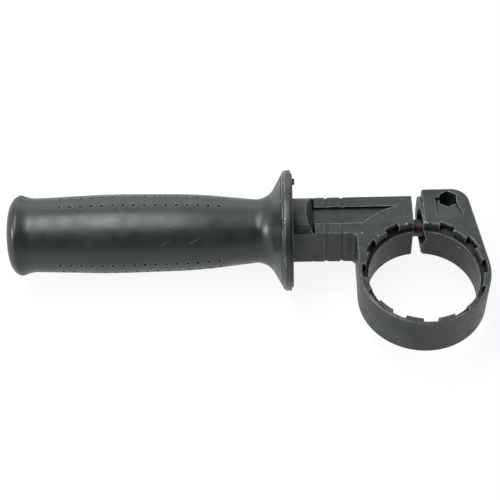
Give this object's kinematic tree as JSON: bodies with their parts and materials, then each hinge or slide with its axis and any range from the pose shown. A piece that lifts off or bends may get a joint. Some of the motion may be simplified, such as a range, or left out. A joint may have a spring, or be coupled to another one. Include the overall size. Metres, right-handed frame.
{
  "type": "hammer drill side handle",
  "caption": "Side handle for a hammer drill: a split clamp band with a notched lip on a straight arm, and a rubber-sleeved grip that screws up on a hexagon-head bolt.",
  "frame": {"origin": "centre of the clamp bore, halfway up the collar", "axes": "+Z along the bore towards the notched lip, -X along the bolt towards the tip of the grip"},
  "size_m": [0.2157, 0.0874, 0.0554],
  "materials": {
    "clamp": "fine grained, glass-filled nylon, black",
    "bolt": "blackened steel",
    "core": "moulded nylon, black",
    "sleeve": "soft semi-matte elastomer, black",
    "insert": "turned"
  },
  "bodies": {
    "clamp": {"clamp_band": "clamp"},
    "bolt": {"clamp_bolt": "bolt"},
    "grip": {"grip_core": "core", "grip_sleeve": "sleeve", "threaded_insert": "insert"}
  },
  "joints": [
    {"name": "grip_turn", "type": "hinge", "parent": "clamp", "child": "grip", "pos_m": [-0.0571, 0.03105, 0], "axis": [-1, 0, 0], "range_deg": [0, 1440]},
    {"name": "bolt_slide", "type": "slide", "parent": "clamp", "child": "bolt", "axis": [1, 0, 0], "range_m": [0, 0.005]}
  ],
  "couplings": [
    {"joint": "bolt_slide", "follows": "grip_turn", "m_per_rad": 0.00019894}
  ]
}
